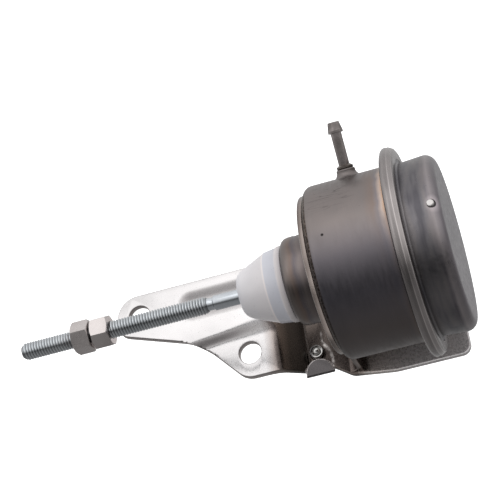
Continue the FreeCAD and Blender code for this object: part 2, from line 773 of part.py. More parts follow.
def make_bracket():
    """Bracket pressed from sheet: bolt plate, ramp, tongue under the can, and the
    upright flange that the can and the neck cup are welded to."""
    bracket = body("bracket")
    side = sketch_on(bracket, "sheet_side_view", "XZ_Plane", "-bracket_top - sheet")
    outline(
        side,
        ("bracket_left - sheet", "-plate_drop"),
        ("bend_start", "-plate_drop", "bend_radius"),
        ("bend_end", "-tongue_drop", "foot_bend"),
        ("bracket_end + sheet", "-tongue_drop"),
        ("bracket_end + sheet", "-tongue_drop - sheet"),
        ("bend_end - bend_shift", "-tongue_drop - sheet", "foot_bend + sheet"),
        ("bend_start - bend_shift", "-plate_drop - sheet", "bend_radius - sheet"),
        ("bracket_left - sheet", "-plate_drop - sheet"),
    )
    extruded(bracket, "bent_sheet", side, "bracket_top + tongue_edge + sheet * 3")
    press_in(
        bracket, "lobe_press", "lobe_step",
        lambda end: (
            ("bracket_left + tip_radius * 2", "-tongue_edge - sheet * 2"),
            (end, "-tongue_edge - sheet * 2"),
            (end, "lobe_line - sheet"),
            ("bracket_left + tip_radius * 2", "lobe_line + sheet"),
        ),
    )
    press_in(
        bracket, "swage", "swage_step",
        lambda end: (
            ("swage_place", "swage_side - swage_half_width", "swage_half_width * 0.98"),
            (end, "swage_side - swage_half_width"),
            (end, "swage_side + swage_half_width"),
            ("swage_place", "swage_side + swage_half_width", "swage_half_width * 0.98"),
        ),
    )
    trim = sketch_on(bracket, "blank_outline", "XY_Plane", "-plate_drop + sheet")
    margin = "sheet * 6"
    outline(
        trim,
        ("bracket_left - %s" % margin, "-tongue_edge - %s" % margin),
        ("bracket_end + %s" % margin, "-tongue_edge - %s" % margin),
        ("bracket_end + %s" % margin, "bracket_top + %s" % margin),
        ("bracket_left - %s" % margin, "bracket_top + %s" % margin),
    )
    outline(
        trim,
        ("bracket_left", "bracket_top", "tip_radius"),
        ("bracket_left", "upper_bolt_side - tip_radius * 0.7", "tip_radius * 0.6"),
        ("lower_bolt_place - waist_ahead", "0", "waist_round"),
        ("lower_bolt_place - lobe_ahead", "-lobe_edge", "lobe_round"),
        ("flange_front - foot_ahead", "-lobe_edge", "foot_round"),
        ("flange_front - foot_ahead / 4", "-skirt_edge", "foot_round"),
        ("can_front + skirt_back", "-tongue_edge", "skirt_round"),
        ("bracket_end", "-tongue_edge", "end_round"),
        ("bracket_end", "tongue_top", "tongue_round"),
        ("can_front + shoulder_back", "tongue_top", "tongue_round"),
        ("can_front", "bracket_top", "tip_radius"),
    )
    extruded(bracket, "blank_trim", trim, "tongue_drop + sheet * 4", cut=True)
    bolts = sketch_on(bracket, "bolt_circles", "XY_Plane", "-plate_drop + sheet")
    circle(bolts, ("upper_bolt_place", "upper_bolt_side"), "bolt_radius")
    circle(bolts, ("lower_bolt_place", "-lower_bolt_side"), "bolt_radius")
    extruded(bracket, "bolt_holes", bolts, "sheet * 4 + lobe_step", cut=True)
    ear = sketch_on(bracket, "ear_outline", "XY_Plane", "-tongue_drop - sheet / 2")
    outline(
        ear,
        ("ear_place - ear_radius", "-ear_edge"),
        ("ear_place + ear_radius", "-ear_edge"),
        ("ear_place + ear_radius", "-ear_edge + ear_radius", "ear_radius * 0.99"),
        ("ear_place - ear_radius", "-ear_edge + ear_radius", "ear_radius * 0.99"),
    )
    extruded(bracket, "ear", ear, "ear_height + sheet / 2")
    rivet = sketch_on(bracket, "rivet_circle", "XY_Plane", "-plate_drop")
    circle(rivet, ("stud_place", "-stud_side"), "stud_radius + fit_gap")
    extruded(bracket, "rivet_hole", rivet, "tongue_drop", cut=True)
    upright = sketch_on(bracket, "web_outline", "YZ_Plane", "flange_front")
    outline(
        upright,
        ("-web_half_width", "-tongue_drop - sheet / 2"),
        ("web_half_width", "-tongue_drop - sheet / 2"),
        ("web_half_width", "0"),
        ("-web_half_width", "0"),
    )
    extruded(bracket, "web", upright, "flange_wall")
    foot = sketch_on(bracket, "web_bend_side_view", "XZ_Plane", "-web_half_width")
    outline(
        foot,
        ("flange_front - web_bend - edge_gap", "-tongue_drop"),
        ("flange_front", "-tongue_drop", "web_bend"),
        ("flange_front", "-tongue_drop + web_bend + edge_gap"),
        ("can_front - flange_wall / 2", "-tongue_drop + web_bend + edge_gap"),
        ("can_front - flange_wall / 2", "-tongue_drop - sheet / 2"),
        ("flange_front - web_bend - edge_gap", "-tongue_drop - sheet / 2"),
    )
    extruded(bracket, "web_bend_fill", foot, "web_half_width * 2")
    disc = sketch_on(bracket, "flange_circle", "YZ_Plane", "flange_front")
    circle(disc, ("0", "0"), "flange_radius")
    extruded(bracket, "flange_disc", disc, "flange_wall")
    neck = sketch_on(bracket, "neck_circle", "YZ_Plane", "can_front + flange_wall")
    circle(neck, ("0", "0"), "neck_radius + fit_gap")
    extruded(bracket, "neck_hole_cut", neck, "flange_wall * 3", cut=True)


def turned_upright(piece, name, place, *corners):
    """Turn a profile of radii and heights about an upright line, and set it in its place."""
    sketch = sketch_on(piece, name + "_profile", "XZ_Plane")
    outline(sketch, *corners)
    turn = piece.newObject("PartDesign::Revolution", name)
    turn.Profile = sketch
    turn.ReferenceAxis = (sketch, ["V_Axis"])
    turn.Angle = 360
    piece.Tip = turn
    for way, text in zip("xyz", place):
        piece.setExpression("Placement.Base." + way, tie(text))
    doc.recompute()


def make_stud():
    """Round rivet through the bracket's sheet, dimpled where it was peened."""
    turned_upright(
        body("bracket_stud"), "stud_turning", ("stud_place", "-stud_side", "-tongue_drop"),
        ("0", "-sheet"),
        ("stud_radius", "-sheet"),
        ("stud_radius", "stud_height", "stud_radius / 6"),
        ("stud_dimple", "stud_height"),
        ("stud_dimple / 2", "stud_height - stud_dimple / 3"),
        ("0", "stud_height - stud_dimple / 3"),
    )


def make_vent_plug():
    """Sintered breather plug pressed into the cap's vent hole."""
    turned_upright(
        body("vent_plug"), "plug_turning", ("vent_place", "0", "cap_radius"),
        ("0", "-cap_wall"),
        ("vent_radius - fit_gap", "-cap_wall"),
        ("vent_radius - fit_gap", "plug_height", "plug_height"),
        ("0", "plug_height"),
    )


make_rod()
make_nut("lock_nut", "lock_nut_place", "lock_nut_turn")
make_nut("adjuster_nut", "adjuster_nut_place", "adjuster_nut_turn")
make_boot()
make_neck_cup()
make_seal()
make_retainer()
make_bush()
make_front_can()
make_rear_cap()
make_vent_plug()
make_crimp_ring()
make_nipple()
make_braze()
make_spring_seat()
make_spring()
make_piston()
make_diaphragm()
make_diaphragm_plate()
make_washer()
make_bump_stop()
make_bracket()
make_stud()

doc.recompute()
faults = [o.Name for o in doc.Objects if "Invalid" in o.State or "Error" in o.State]
pieces = [o for o in doc.Objects if o.isDerivedFrom("PartDesign::Body")]
for piece in pieces:
    if piece.Shape.isNull() or not piece.Shape.isValid():
        faults.append(piece.Label)
if faults:
    raise RuntimeError("These failed: " + ", ".join(faults))
os.makedirs("parts", exist_ok=True)
for piece in pieces:
    piece.Shape.exportStep("parts/%s.step" % piece.Label)
    print(piece.Label, len(piece.Shape.Solids), round(piece.Shape.Volume, 1))
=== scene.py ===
import math

import bmesh
import bpy
from mathutils import Matrix, Vector
from mathutils.bvhtree import BVHTree


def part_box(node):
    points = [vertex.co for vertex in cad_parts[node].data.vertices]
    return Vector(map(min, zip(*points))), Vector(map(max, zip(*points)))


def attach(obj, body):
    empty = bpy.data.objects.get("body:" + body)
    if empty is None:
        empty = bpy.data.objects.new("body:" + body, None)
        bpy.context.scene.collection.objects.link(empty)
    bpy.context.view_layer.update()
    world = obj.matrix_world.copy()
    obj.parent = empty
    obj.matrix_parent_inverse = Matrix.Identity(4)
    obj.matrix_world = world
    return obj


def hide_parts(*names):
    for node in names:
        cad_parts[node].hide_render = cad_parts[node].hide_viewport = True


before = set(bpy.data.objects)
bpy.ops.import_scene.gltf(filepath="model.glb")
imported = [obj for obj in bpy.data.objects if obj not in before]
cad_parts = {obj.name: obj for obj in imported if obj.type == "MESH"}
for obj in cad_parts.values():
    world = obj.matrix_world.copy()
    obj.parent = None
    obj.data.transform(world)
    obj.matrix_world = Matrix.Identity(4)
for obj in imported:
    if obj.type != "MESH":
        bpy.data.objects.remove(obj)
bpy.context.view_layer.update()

MM = 0.001

# ---- Camera ----
# Stands high on the -Y side of the rod, a little towards the cap, half a metre away, and is
# rolled so that the rod climbs from lower left to upper right.
swing = math.radians(12.0)
lift = math.radians(28.0)
roll = math.radians(14.9)
level = Vector((math.cos(swing), math.sin(lift) * math.sin(swing), -math.cos(lift) * math.sin(swing)))
upright = Vector((0.0, math.cos(lift), math.sin(lift)))
right = level * math.cos(roll) - upright * math.sin(roll)
top = level * math.sin(roll) + upright * math.cos(roll)
camera = bpy.data.objects.new("camera", bpy.data.cameras.new("camera"))
camera.matrix_world = Matrix((right, top, right.cross(top))).transposed().to_4x4()
camera.location = Vector((190.32, -219.43, 442.77)) * MM
camera.data.lens = 109.44
camera.data.sensor_width = 36.0
camera.data.clip_start = 0.01
bpy.context.scene.collection.objects.link(camera)
bpy.context.scene.camera = camera

# ---- Floor and light ----
# A plain white table well below the part, a room lit by a wide diffuser from the horizon behind
# the rod to overhead and dark on the camera's side, and one soft box above.
bpy.context.scene.view_settings.view_transform = "Standard"


def add(tree, kind, settings=None, **inputs):
    """Put a node in a tree. Its inputs are numbers or the sockets that feed them, and an
    input that has no name of its own is called by its number, as in at0."""
    made = tree.nodes.new("ShaderNode" + kind)
    for key, setting in (settings or {}).items():
        setattr(made, key, setting)
    for key, given in inputs.items():
        named = key.replace("_", " ")
        socket = made.inputs[int(key[2:])] if key[:2] == "at" and key[2:].isdigit() else made.inputs[named]
        if isinstance(given, bpy.types.NodeSocket):
            tree.links.new(given, socket)
        else:
            socket.default_value = given
    return made


def ramp(tree, fed, *stops):
    """A colour ramp through stops of place and colour, or of place and grey."""
    made = add(tree, "ValToRGB", Fac=fed)
    while len(made.color_ramp.elements) < len(stops):
        made.color_ramp.elements.new(0.5)
    for element, (place, shade) in zip(made.color_ramp.elements, stops):
        element.position = place
        element.color = (*shade, 1.0) if isinstance(shade, tuple) else (shade, shade, shade, 1.0)
    return made.outputs["Color"]


def share_of(tree, fed, start, stop, ends=(0.0, 1.0)):
    """How far a value has come from start to stop, held between two ends."""
    return add(tree, "MapRange", Value=fed, From_Min=start, From_Max=stop,
               To_Min=ends[0], To_Max=ends[1]).outputs["Result"]


room = bpy.data.worlds.new("room")
bpy.context.scene.world = room
room.use_nodes = True
tree = room.node_tree
tree.nodes.clear()
direction = add(tree, "SeparateXYZ", Vector=add(tree, "TexCoord").outputs["Generated"])
round_rod = add(tree, "Math", {"operation": "ARCTAN2"}, at0=direction.outputs["Z"],
                at1=direction.outputs["Y"]).outputs[0]
glow = ramp(
    tree, share_of(tree, round_rod, -math.pi, math.pi),
    (0.0, 0.24), (0.17, 0.26), (0.25, 0.30), (0.32, 0.52), (0.42, 0.70), (0.50, 0.88), (0.58, 1.0),
    (0.74, 1.0), (0.785, 0.74), (0.83, 0.38), (0.865, 0.115), (0.90, 0.115), (0.94, 0.21), (1.0, 0.24),
)
around = add(tree, "Background", Color=glow, Strength=1.15)
seen = add(tree, "Background", Color=(1.0, 1.0, 1.0, 1.0), Strength=1.0)
which = add(tree, "LightPath")
mixed = add(tree, "MixShader", Fac=which.outputs["Is Camera Ray"], at1=around.outputs[0], at2=seen.outputs[0])
add(tree, "OutputWorld", Surface=mixed.outputs[0])

box_light = bpy.data.objects.new("soft_box", bpy.data.lights.new("soft_box", "AREA"))
box_light.data.shape = "RECTANGLE"
box_light.data.size = 1.1
box_light.data.size_y = 0.62
box_light.data.energy = 1.0
box_towards = Vector((-0.16, 0.40, 0.90)).normalized()
box_light.location = Vector((0.075, 0.0, 0.0)) + box_towards * 0.9
box_light.rotation_mode = "QUATERNION"
box_light.rotation_quaternion = box_towards.to_track_quat("Z", "Y")
bpy.context.scene.collection.objects.link(box_light)

bm = bmesh.new()
bmesh.ops.create_grid(bm, x_segments=1, y_segments=1, size=4.0)
bmesh.ops.translate(bm, vec=(0.0, 0.0, -0.30), verts=bm.verts)
mesh = bpy.data.meshes.new("floor")
bm.to_mesh(mesh)
bm.free()
floor = bpy.data.objects.new("floor", mesh)
bpy.context.scene.collection.objects.link(floor)
floor.visible_glossy = False
floor.visible_diffuse = False
white = bpy.data.materials.new("white_table")
white.use_nodes = True
shader = white.node_tree.nodes["Principled BSDF"]
shader.inputs["Base Color"].default_value = (0.85, 0.85, 0.85, 1.0)
shader.inputs["Roughness"].default_value = 0.8
shader.inputs["Emission Color"].default_value = (1.0, 1.0, 1.0, 1.0)
shader.inputs["Emission Strength"].default_value = 0.8
mesh.materials.append(white)

# ---- Pull rod ----
# Steel rod, zinc plated, with a rolled M6 thread up to a short waist and a smooth shank that
# slides in the neck. It is turned here as one pitch of thread carried along a screw, and kept
# to its core under the nuts, whose bores are plain.
rod_radius = 3.0 * MM
rod_root = 2.42 * MM
rod_tip = -0.85 * MM
chamfer_end = 0.4 * MM
chamfer_depth = 0.9 * MM
pitch = 1.0 * MM
thread_end = 66.6 * MM
waist_radius = 2.15 * MM
shank_start = 69.0 * MM
shank_radius = 2.6 * MM
spigot_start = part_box("piston_cup")[1].x - 1.0 * MM
grip_front = 18.35 * MM
grip_rear = 31.75 * MM
grip_radius = 2.44 * MM
run_out = 1.2 * MM
thread_steps = 36


def object_of(bm, name):
    """Turn a finished bmesh into a smooth shaded object of the scene."""
    made = bpy.data.meshes.new(name)
    bm.to_mesh(made)
    bm.free()
    for face in made.polygons:
        face.use_smooth = True
    piece = bpy.data.objects.new(name, made)
    bpy.context.scene.collection.objects.link(piece)
    return piece


def profile(bm, *corners):
    """Lay a chain of edges through corners of place and radius, in the rod's side view."""
    spots = [bm.verts.new((x, 0.0, r)) for x, r in corners]
    return spots, [bm.edges.new(pair) for pair in zip(spots, spots[1:])]


def turned(bm, steps, *corners):
    """Turn a profile about the rod's line into a closed skin."""
    spots, edges = profile(bm, *corners)
    bmesh.ops.spin(bm, geom=spots + edges, cent=(0, 0, 0), axis=(1, 0, 0), angle=2 * math.pi,
                   steps=steps, use_merge=True)
    bmesh.ops.remove_doubles(bm, verts=bm.verts, dist=1e-6)
    bmesh.ops.recalc_face_normals(bm, faces=bm.faces)


bm = bmesh.new()
turns = math.ceil(thread_end / pitch) + 3
spots, edges = profile(
    bm,
    (-2.0 * pitch, rod_root),
    (-1.90 * pitch, rod_root),
    (-1.60 * pitch, rod_radius - 0.06 * MM),
    (-1.52 * pitch, rod_radius),
    (-1.38 * pitch, rod_radius),
    (-1.30 * pitch, rod_radius - 0.06 * MM),
    (-1.0 * pitch, rod_root),
)
bmesh.ops.spin(bm, geom=spots + edges, cent=(0, 0, 0), axis=(1, 0, 0), dvec=(pitch / thread_steps, 0, 0),
               angle=2 * math.pi * turns, steps=thread_steps * turns)
bmesh.ops.remove_doubles(bm, verts=bm.verts, dist=1e-6)
for place, way in ((rod_tip, -1), (thread_end, 1)):
    bmesh.ops.bisect_plane(bm, geom=bm.verts[:] + bm.edges[:] + bm.faces[:], plane_co=(place, 0, 0),
                           plane_no=(way, 0, 0), clear_outer=True, dist=1e-7)
    rim = [e for e in bm.edges if e.is_boundary and all(abs(v.co.x - place) < 1e-6 for v in e.verts)]
    bmesh.ops.edgenet_fill(bm, edges=rim)
for vert in bm.verts:
    reach = math.hypot(vert.co.y, vert.co.z)
    widest = rod_radius
    if vert.co.x < chamfer_end:
        widest = rod_radius - chamfer_depth * (chamfer_end - vert.co.x) / (chamfer_end - rod_tip)
    elif grip_front < vert.co.x < grip_rear:
        widest = grip_radius
    elif vert.co.x > thread_end - run_out:
        widest = rod_radius - 0.5 * (vert.co.x - thread_end + run_out)
    if reach > widest:
        vert.co.y *= widest / reach
        vert.co.z *= widest / reach
bmesh.ops.recalc_face_normals(bm, faces=bm.faces)
rod_thread = object_of(bm, "rod_thread")

bm = bmesh.new()
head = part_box("rod")[1].x
turned(
    bm, 64,
    (thread_end - 0.3 * MM, 0.0),
    (thread_end - 0.3 * MM, rod_root - 0.05 * MM),
    (thread_end + 0.5 * MM, waist_radius),
    (shank_start - 0.35 * MM, waist_radius),
    (shank_start - 0.25 * MM, waist_radius + 0.06 * MM),
    (shank_start, shank_radius - 0.16 * MM),
    (shank_start + 0.22 * MM, shank_radius),
    (spigot_start, shank_radius),
    (spigot_start, 2.2 * MM),
    (head - 1.4 * MM, 2.2 * MM),
    (head - 1.4 * MM, 3.4 * MM),
    (head - 0.7 * MM, 3.6 * MM),
    (head - 0.2 * MM, 3.2 * MM),
    (head, 2.2 * MM),
    (head, 0.0),
)
rod_shank = object_of(bm, "rod_shank")


def noise(tree, place, scale, detail, **more):
    """A cloud of noise between 0 and 1."""
    return add(tree, "TexNoise", Vector=place, Scale=scale, Detail=detail, **more).outputs["Fac"]


def far_from(tree, place, spot):
    """The distance of each place from a spot."""
    return add(tree, "VectorMath", {"operation": "DISTANCE"}, at0=place, at1=spot).outputs["Value"]


def shaken(tree, fed, cloud, amount):
    """A value moved by an amount of noise."""
    return add(tree, "Math", {"operation": "MULTIPLY_ADD"}, at0=cloud, at1=amount, at2=fed).outputs[0]


def steel(name, pale, dark, rough, spread=0.08, grain=900.0, stretch=(1.0, 1.0, 1.0), depth=0.04,
          blotch=60.0):
    """A metal that drifts between two tones, with a fine grain in its gloss and surface.
    Returns the material and what a section needs to add its own marks."""
    made = bpy.data.materials.new(name)
    made.use_nodes = True
    tree = made.node_tree
    shader = tree.nodes["Principled BSDF"]
    shader.inputs["Metallic"].default_value = 1.0
    place = add(tree, "TexCoord").outputs["Object"]
    drawn = add(tree, "Mapping", Vector=place, Scale=stretch).outputs["Vector"]
    cloud = noise(tree, place, blotch, 3.0, Roughness=0.55)
    fine = noise(tree, drawn, grain, 4.0, Roughness=0.6)
    both = shaken(tree, cloud, fine, 0.35)
    tone = ramp(tree, both, (0.45, dark), (0.85, pale))
    tree.links.new(tone, shader.inputs["Base Color"])
    gloss = share_of(tree, fine, 0.3, 0.7, (rough - spread, rough + spread))
    tree.links.new(gloss, shader.inputs["Roughness"])
    relief = add(tree, "Bump", Strength=depth, Distance=0.0002, Height=fine).outputs["Normal"]
    tree.links.new(relief, shader.inputs["Normal"])
    return made, tree, shader, place, tone


def tinted(tree, under, over, share):
    """Multiply one colour by another, as far as a share says."""
    made = add(tree, "Mix", {"data_type": "RGBA", "blend_type": "MULTIPLY"}, Factor=share)
    tree.links.new(under, made.inputs[6])
    tree.links.new(over, made.inputs[7])
    return made.outputs[2]


def finish(material, *pieces):
    """Give pieces, CAD nodes or new ones, their finish."""
    for piece in pieces:
        if not piece.data.materials:
            piece.data.materials.append(material)
        for slot in piece.material_slots:
            slot.material = material


zinc = steel("zinc_plate", (0.63, 0.655, 0.685), (0.45, 0.48, 0.52), 0.14,
             spread=0.04, grain=1400.0, depth=0.02)[0]
finish(zinc, rod_shank)
rolled, tree, shader, place, tone = steel("rolled_zinc", (0.56, 0.58, 0.60), (0.42, 0.445, 0.47), 0.20,
                                          spread=0.06, grain=1400.0, depth=0.03)
# Painted light on the thread: painted shade darkens its roots and a painted highlight lightens its crests.
axis_spot = add(tree, "CombineXYZ", X=add(tree, "SeparateXYZ", Vector=place).outputs["X"]).outputs["Vector"]
flank = share_of(tree, far_from(tree, place, axis_spot), rod_root, rod_radius)
painted_thread_light = ramp(tree, flank, (0.0, 0.52), (0.4, 0.70), (0.8, 1.0), (1.0, 1.15))
tree.links.new(tinted(tree, tone, painted_thread_light, 1.0), shader.inputs["Base Color"])
finish(rolled, rod_thread)
for piece in (rod_thread, rod_shank):
    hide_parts("rod")
    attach(piece, "rod")

# ---- Nuts ----
# Two plain M6 hexagon nuts, cold formed and lightly plated, locked against each other to set
# the rod's length. Their solids are kept and their edges are broken a little.
nut_steel = steel("nut_steel", (0.54, 0.50, 0.49), (0.42, 0.385, 0.375), 0.24,
                  spread=0.05, grain=1100.0, depth=0.015)[0]
for name in ("lock_nut", "adjuster_nut"):
    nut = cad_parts[name]
    weld = nut.modifiers.new("weld", "WELD")
    weld.merge_threshold = 1e-6
    edges = nut.modifiers.new("edges", "BEVEL")
    edges.width = 0.14 * MM
    edges.segments = 2
    edges.limit_method = "ANGLE"
    edges.angle_limit = math.radians(25)
    finish(nut_steel, nut)

# ---- Bracket ----
# One pressing of bright plated sheet: the bolt plate with its two holes, a joggled lobe and a
# swage, the ramp and the tongue under the can, and the flange that holds the neck. The copy of
# its solid gets the soft shoulders that a press gives; the flange's rim is bare, and painted
# shade darkens the sheet from the bend to the flange.
plate_top = -28.0 * MM
tongue_top = -37.6 * MM
tongue_under = -40.2 * MM
edge_side = -23.4 * MM
clear_line = 8.0 * MM
flat_from = 60.0 * MM
press_end = 86.0 * MM
joggle_turn = 0.09
joggle_at = -5.2 * MM
joggle_width = 4.6 * MM
joggle_widens = 3.0 * MM
joggle_step = 1.8 * MM
swage_start = 52.9 * MM
swage_side = 15.4 * MM
swage_width = 6.6 * MM
swage_step = 1.8 * MM
ear_place = 93.0 * MM
ear_side = -18.2 * MM
ear_radius = 5.2 * MM


def product(tree, one, other):
    """Two values multiplied."""
    return add(tree, "Math", {"operation": "MULTIPLY"}, at0=one, at1=other).outputs[0]


def eased(share):
    """Climb from 0 to 1 without a corner."""
    share = min(max(share, 0.0), 1.0)
    return share * share * (3.0 - 2.0 * share)


def pressed(x, y):
    """How far the press pushes the plate down at a place."""
    past = joggle_at + joggle_turn * x - y
    width = joggle_width + joggle_widens * eased((x - flat_from) / (20.0 * MM))
    lobe = joggle_step * eased(0.5 + past / width)
    aside = math.hypot(min(x - swage_start, 0.0), y - swage_side)
    return max(lobe, swage_step * eased(1.12 - 1.12 * aside / swage_width))


bm = bmesh.new()
bm.from_mesh(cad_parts["bracket"].data)
bmesh.ops.remove_doubles(bm, verts=bm.verts, dist=1e-6)
bmesh.ops.dissolve_limit(bm, angle_limit=math.radians(0.5), verts=bm.verts, edges=bm.edges)
bm.normal_update()
still = BVHTree.FromBMesh(bm)

# Each cut is the X past which faces are cut, a place on the plane and the way the plane faces.
swage_cuts = swage_start - 6.0 * MM
anywhere = -1.0
on_rod, over_rod, on_joggle = (1.0, 0.0, 0.0), (0.0, 1.0, 0.0), (-joggle_turn, 1.0, 0.0)
cuts = [(anywhere, (swage_cuts, 0.0, 0.0), on_rod)]
cuts += [(anywhere, (0.0, joggle_at + step * 0.58 * MM, 0.0), on_joggle) for step in range(-7, 8)]
cuts += [(swage_cuts, (0.0, swage_side + step * 0.6 * MM, 0.0), over_rod) for step in range(-11, 12)]
cuts += [(swage_cuts, (swage_start - step * 0.6 * MM, 0.0, 0.0), on_rod) for step in range(0, 10)]
cuts += [(anywhere, (48.0 * MM + step * 1.5 * MM, 0.0, 0.0), on_rod) for step in range(0, 20)]
cuts += [(swage_start, (press_end - step * 0.6 * MM, 0.0, 0.0), on_rod) for step in range(0, 16)]
for start, spot, way in cuts:
    near = [f for f in bm.faces
            if start < f.calc_center_bounds().x and min(v.co.x for v in f.verts) < press_end]
    parts = near + list({e for f in near for e in f.edges}) + list({v for f in near for v in f.verts})
    bmesh.ops.bisect_plane(bm, geom=parts, plane_co=spot, plane_no=way, dist=0.05 * MM)
bm.normal_update()

# The plate is set down on the pressed form, and rounded where that form runs out into the bend.
for vert in bm.verts:
    x, y = vert.co.x, vert.co.y
    if x > press_end + 1e-6:
        continue
    across = max(x, flat_from)
    upper = still.ray_cast(Vector((across, clear_line, 0.0)), Vector((0, 0, -1)))[0].z
    lower = still.ray_cast(Vector((across, clear_line, -1.0)), Vector((0, 0, 1)))[0].z
    depth = pressed(x, y)
    floor_z = plate_top - depth
    blend = max(1.0 - abs(upper - floor_z) / (0.6 * depth + 1e-9), 0.0)
    top_z = min(upper, floor_z) - 0.15 * depth * blend * blend
    vert.co.z = top_z if vert.normal.z > 0 else top_z - (upper - lower)

# The ear's top slopes down to the sheet's edge.
for vert in bm.verts:
    apart = math.hypot(vert.co.x - ear_place, vert.co.y - ear_side)
    if vert.co.z > tongue_top + 0.2 * MM and apart < ear_radius + 0.4 * MM and vert.normal.z > 0:
        risen = (vert.co.y - edge_side) / (ear_side + ear_radius - edge_side)
        vert.co.z = tongue_under + (vert.co.z - tongue_under) * risen + 0.1 * MM

bm.normal_update()
broken = math.radians(50)
corners = [e for e in bm.edges if len(e.link_faces) == 2 and e.is_convex and e.calc_face_angle() > broken]
bmesh.ops.bevel(bm, geom=corners, offset=0.42 * MM, offset_type="OFFSET", segments=3, profile=0.5,
                affect="EDGES", material=-1, clamp_overlap=False)
bracket = object_of(bm, "bracket_sheet")
bracket.data.set_sharp_from_angle(angle=math.radians(32))

plated, tree, shader, place, tone = steel(
    "plated_sheet", (0.68, 0.66, 0.66), (0.56, 0.545, 0.545), 0.28,
    spread=0.05, grain=800.0, depth=0.03, blotch=45.0,
)
parts = add(tree, "SeparateXYZ", Vector=place)
along, aside = parts.outputs["X"], parts.outputs["Y"]

# Pits in the plating, crowded on the plate and few where the painted shade lies.
specks = add(tree, "TexVoronoi", Vector=place, Scale=1000.0).outputs["Distance"]
pits = ramp(tree, specks, (0.0, 0.20), (0.17, 1.0))
crowd = ramp(tree, noise(tree, place, 260.0, 3.0), (0.42, 0.2), (0.62, 0.9))
calm = share_of(tree, along, 80.0 * MM, 110.0 * MM, (1.0, 0.05))
marked = tinted(tree, tone, pits, product(tree, crowd, calm))

# Painted shade and painted reflection of the dark can, from the bend to the flange, brown and darkest on the
# ramp.
moved = shaken(tree, along, noise(tree, place, 90.0, 1.0), 1.4 * MM)
painted_can_shade = ramp(
    tree, share_of(tree, moved, 77.0 * MM, 127.0 * MM),
    (0.0, (1.0, 1.0, 1.0)), (0.065, (0.62, 0.56, 0.53)), (0.12, (0.26, 0.215, 0.185)),
    (0.17, (0.115, 0.100, 0.088)), (0.25, (0.080, 0.072, 0.066)), (0.28, (0.17, 0.145, 0.13)),
    (0.60, (0.20, 0.17, 0.155)), (0.66, (0.75, 0.67, 0.62)), (1.0, (0.95, 0.92, 0.92)),
)
marked = tinted(tree, marked, painted_can_shade, 1.0)

# Painted shade darkens the faces of the plate that lean, and a painted highlight lightens the edges of the
# tongue.
facing = add(tree, "SeparateXYZ", Vector=add(tree, "NewGeometry").outputs["Normal"])
tilt = facing.outputs["Z"]
painted_slope_shade = ramp(tree, tilt, (0.0, (0.78, 0.73, 0.71)), (0.60, (0.60, 0.57, 0.56)),
               (0.90, (0.72, 0.70, 0.70)), (0.985, (1.0, 1.0, 1.0)))
marked = tinted(tree, marked, painted_slope_shade, share_of(tree, along, 81.0 * MM, 78.0 * MM))
painted_edge_highlight = ramp(tree, tilt, (0.20, 1.0), (0.40, 3.2), (0.85, 3.2), (0.96, 1.0))
outward = share_of(tree, facing.outputs["Y"], -0.25, -0.45)
far_on = share_of(tree, along, 98.0 * MM, 101.0 * MM)
marked = tinted(tree, marked, painted_edge_highlight, product(tree, outward, far_on))

# The front rim of the flange is bare metal.
past_rim = share_of(tree, along, 106.44 * MM, 106.52 * MM)
before_rim = add(tree, "Math", {"operation": "LESS_THAN"}, at0=along, at1=106.3 * MM).outputs[0]
off_rim = add(tree, "Math", {"operation": "MAXIMUM"}, at0=past_rim, at1=before_rim).outputs[0]
rimmed = add(tree, "Mix", {"data_type": "RGBA"}, Factor=off_rim, at6=(0.42, 0.39, 0.37, 1.0))
tree.links.new(marked, rimmed.inputs[7])
marked = rimmed.outputs[2]

# Three painted highlight streaks on the ridge at the flange's foot: centre, turn, and half length and width.
flat_place = add(tree, "CombineXYZ", X=along, Y=aside).outputs["Vector"]
glint = ramp(tree, noise(tree, place, 700.0, 2.0), (0.38, 0.15), (0.60, 1.0))
for centre, turn, size in (
    ((95.50 * MM, -4.63 * MM, 0.0), -1.571, (2.4 * MM, 0.40 * MM, 1.0)),
    ((96.48 * MM, -8.52 * MM, 0.0), -0.990, (3.0 * MM, 0.75 * MM, 1.0)),
    ((98.13 * MM, -13.68 * MM, 0.0), -1.494, (3.2 * MM, 0.70 * MM, 1.0)),
):
    spot = add(tree, "Mapping", {"vector_type": "TEXTURE"}, Vector=flat_place, Location=centre,
               Rotation=(0.0, 0.0, turn), Scale=size).outputs["Vector"]
    off = add(tree, "VectorMath", {"operation": "LENGTH"}, at0=spot).outputs["Value"]
    painted_light = product(tree, share_of(tree, off, 1.15, 0.10), glint)
    streak = add(tree, "Mix", {"data_type": "RGBA"}, Factor=painted_light, at7=(0.74, 0.70, 0.67, 1.0))
    tree.links.new(marked, streak.inputs[6])
    marked = streak.outputs[2]

# The ear is painted dark grey for the shade of its face turned from the light, with a painted highlight on
# its rim.
ear_spot = far_from(tree, flat_place, (ear_place, ear_side, 0.0))
ear_out = share_of(tree, ear_spot, 0.0, 6.0 * MM)
ear_share = ramp(tree, ear_out, (0.0, 1.0), (0.90, 1.0), (0.92, 0.0))
ear_painted_light = ramp(tree, ear_out, (0.0, (0.13, 0.12, 0.122)), (0.79, (0.13, 0.12, 0.122)),
                (0.83, (0.62, 0.58, 0.57)))
last = add(tree, "Mix", {"data_type": "RGBA"}, Factor=ear_share)
tree.links.new(marked, last.inputs[6])
tree.links.new(ear_painted_light, last.inputs[7])
tree.links.new(last.outputs[2], shader.inputs["Base Color"])
oxide = share_of(tree, along, 109.5 * MM, 111.0 * MM, (1.0, 0.45))
tree.links.new(oxide, shader.inputs["Metallic"])
finish(plated, bracket)
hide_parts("bracket")
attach(bracket, "housing")

